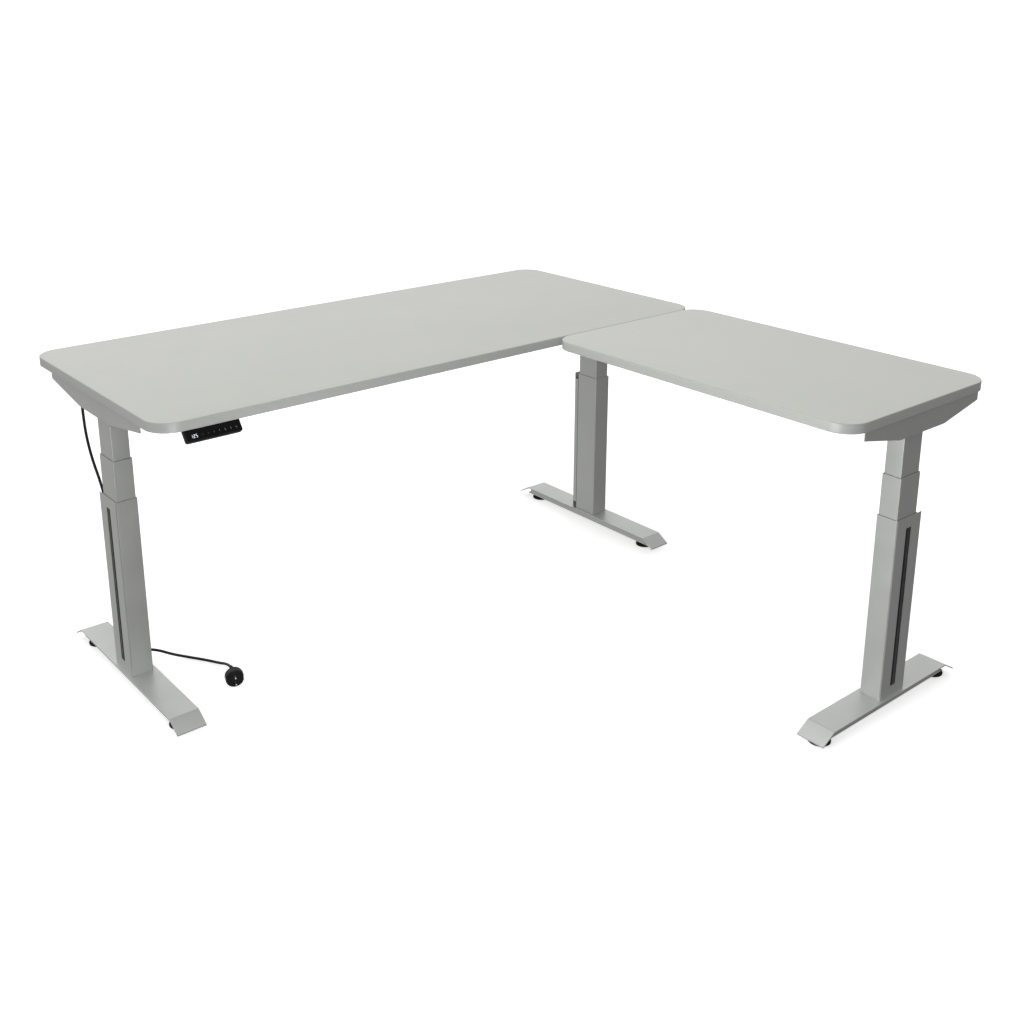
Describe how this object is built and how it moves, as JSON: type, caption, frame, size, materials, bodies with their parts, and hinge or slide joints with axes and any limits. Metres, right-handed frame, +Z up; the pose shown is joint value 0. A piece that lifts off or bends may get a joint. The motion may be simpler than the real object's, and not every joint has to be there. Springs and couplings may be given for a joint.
{
  "type": "height adjustable standing desk",
  "caption": "Corner standing desk: two rounded worktops in an L on telescopic legs with T feet, cable ducts, a handset and a mains lead.",
  "frame": {"origin": "on the floor under the middle of the bounding box", "axes": "+Z up; +X along the main worktop towards the return; +Y towards the rear edge of the main worktop"},
  "size_m": [1.8, 1.8, 0.85],
  "materials": {
    "worktop": "light grey melamine laminate, fine texture",
    "banding": "light grey plastic edge banding",
    "frame": "light silver-grey powder coat",
    "black_plastic": "matt black moulded plastic",
    "gloss_black": "glossy black panel",
    "glide": "dark grey nylon",
    "steel": "zinc plated steel",
    "drive": "black painted drive unit",
    "lead": "black flexible sheath",
    "pin": "nickel plated pins"
  },
  "bodies": {
    "base": {"foot_plate_left": "frame", "foot_plate_corner": "frame", "foot_plate_return": "frame", "foot_channels": "frame", "outer_tube_left": "frame", "outer_tube_corner": "frame", "outer_tube_return": "frame", "duct_cover_left": "frame", "duct_cover_corner": "frame", "duct_cover_return": "frame", "slot_strips": "black_plastic", "outer_glides": "glide", "base_screws": "steel", "duct_lead": "lead", "floor_lead": "lead", "plug_relief": "lead", "plug_body": "black_plastic", "plug_pins": "pin"},
    "middle_stage": {"mid_tube_left": "frame", "mid_tube_corner": "frame", "mid_tube_return": "frame", "stage_bearings": "glide", "drive_tubes": "steel"},
    "top": {"main_board": "worktop", "return_board": "worktop", "edge_banding": "banding", "arm_left": "frame", "arm_corner": "frame", "arm_return": "frame", "inner_tube_left": "frame", "inner_tube_corner": "frame", "inner_tube_return": "frame", "push_tubes": "steel", "drive_units": "drive", "inner_glides": "glide", "cross_rails": "frame", "corner_bracket": "frame", "control_box": "black_plastic", "handset_housing": "black_plastic", "display_panel": "gloss_black", "hanging_lead": "lead", "under_top_lead": "lead", "wire_channels": "black_plastic", "lead_clips": "black_plastic"},
    "leveller_left_front": {"leveller_left_front": "black_plastic"},
    "leveller_left_rear": {"leveller_left_rear": "black_plastic"},
    "leveller_corner_front": {"leveller_corner_front": "black_plastic"},
    "leveller_corner_rear": {"leveller_corner_rear": "black_plastic"},
    "leveller_return_left": {"leveller_return_left": "black_plastic"},
    "leveller_return_right": {"leveller_return_right": "black_plastic"},
    "key_1": {"key_1": "gloss_black"},
    "key_2": {"key_2": "gloss_black"},
    "key_3": {"key_3": "gloss_black"},
    "key_4": {"key_4": "gloss_black"},
    "key_5": {"key_5": "gloss_black"},
    "key_6": {"key_6": "gloss_black"},
    "key_7": {"key_7": "gloss_black"},
    "drive_shaft_left": {"drive_shaft_left": "steel"},
    "drive_shaft_corner": {"drive_shaft_corner": "steel"},
    "drive_shaft_return": {"drive_shaft_return": "steel"}
  },
  "joints": [
    {"name": "lift", "type": "slide", "parent": "base", "child": "top", "axis": [0, 0, 1], "range_m": [-0.22, 0.42], "deforming": ["hanging_lead"]},
    {"name": "middle_slide", "type": "slide", "parent": "base", "child": "middle_stage", "axis": [0, 0, 1], "range_m": [-0.11, 0.21]},
    {"name": "shaft_spin_left", "type": "hinge", "parent": "top", "child": "drive_shaft_left", "pos_m": [-0.846, 0.5, 0.6], "axis": [0, 0, 1], "range_deg": [-2477, 4727]},
    {"name": "shaft_spin_corner", "type": "hinge", "parent": "top", "child": "drive_shaft_corner", "pos_m": [0.853, 0.5, 0.6], "axis": [0, 0, 1], "range_deg": [-2477, 4727]},
    {"name": "shaft_spin_return", "type": "hinge", "parent": "top", "child": "drive_shaft_return", "pos_m": [0.6065, -0.85, 0.6], "axis": [0, 0, 1], "range_deg": [-2477, 4727]},
    {"name": "leveller_turn_left_front", "type": "hinge", "parent": "base", "child": "leveller_left_front", "pos_m": [-0.846, 0.232, 0], "axis": [0, 0, 1], "continuous": true},
    {"name": "leveller_turn_left_rear", "type": "hinge", "parent": "base", "child": "leveller_left_rear", "pos_m": [-0.846, 0.768, 0], "axis": [0, 0, 1], "continuous": true},
    {"name": "leveller_turn_corner_front", "type": "hinge", "parent": "base", "child": "leveller_corner_front", "pos_m": [0.853, 0.232, 0], "axis": [0, 0, 1], "continuous": true},
    {"name": "leveller_turn_corner_rear", "type": "hinge", "parent": "base", "child": "leveller_corner_rear", "pos_m": [0.853, 0.768, 0], "axis": [0, 0, 1], "continuous": true},
    {"name": "leveller_turn_return_left", "type": "hinge", "parent": "base", "child": "leveller_return_left", "pos_m": [0.3525, -0.85, 0], "axis": [0, 0, 1], "continuous": true},
    {"name": "leveller_turn_return_right", "type": "hinge", "parent": "base", "child": "leveller_return_right", "pos_m": [0.8605, -0.85, 0], "axis": [0, 0, 1], "continuous": true},
    {"name": "key_1_press", "type": "slide", "parent": "top", "child": "key_1", "axis": [0, 0.8, -0.6], "range_m": [0, 0.0006], "stiffness_N_per_m": 500, "springref_m": -0.0002},
    {"name": "key_2_press", "type": "slide", "parent": "top", "child": "key_2", "axis": [0, 0.8, -0.6], "range_m": [0, 0.0006], "stiffness_N_per_m": 500, "springref_m": -0.0002},
    {"name": "key_3_press", "type": "slide", "parent": "top", "child": "key_3", "axis": [0, 0.8, -0.6], "range_m": [0, 0.0006], "stiffness_N_per_m": 500, "springref_m": -0.0002},
    {"name": "key_4_press", "type": "slide", "parent": "top", "child": "key_4", "axis": [0, 0.8, -0.6], "range_m": [0, 0.0006], "stiffness_N_per_m": 500, "springref_m": -0.0002},
    {"name": "key_5_press", "type": "slide", "parent": "top", "child": "key_5", "axis": [0, 0.8, -0.6], "range_m": [0, 0.0006], "stiffness_N_per_m": 500, "springref_m": -0.0002},
    {"name": "key_6_press", "type": "slide", "parent": "top", "child": "key_6", "axis": [0, 0.8, -0.6], "range_m": [0, 0.0006], "stiffness_N_per_m": 500, "springref_m": -0.0002},
    {"name": "key_7_press", "type": "slide", "parent": "top", "child": "key_7", "axis": [0, 0.8, -0.6], "range_m": [0, 0.0006], "stiffness_N_per_m": 500, "springref_m": -0.0002}
  ],
  "couplings": [
    {"joint": "middle_slide", "follows": "lift", "ratio": 0.5},
    {"joint": "shaft_spin_left", "follows": "lift", "rad_per_m": 196.35},
    {"joint": "shaft_spin_corner", "follows": "lift", "rad_per_m": 196.35},
    {"joint": "shaft_spin_return", "follows": "lift", "rad_per_m": 196.35}
  ]
}
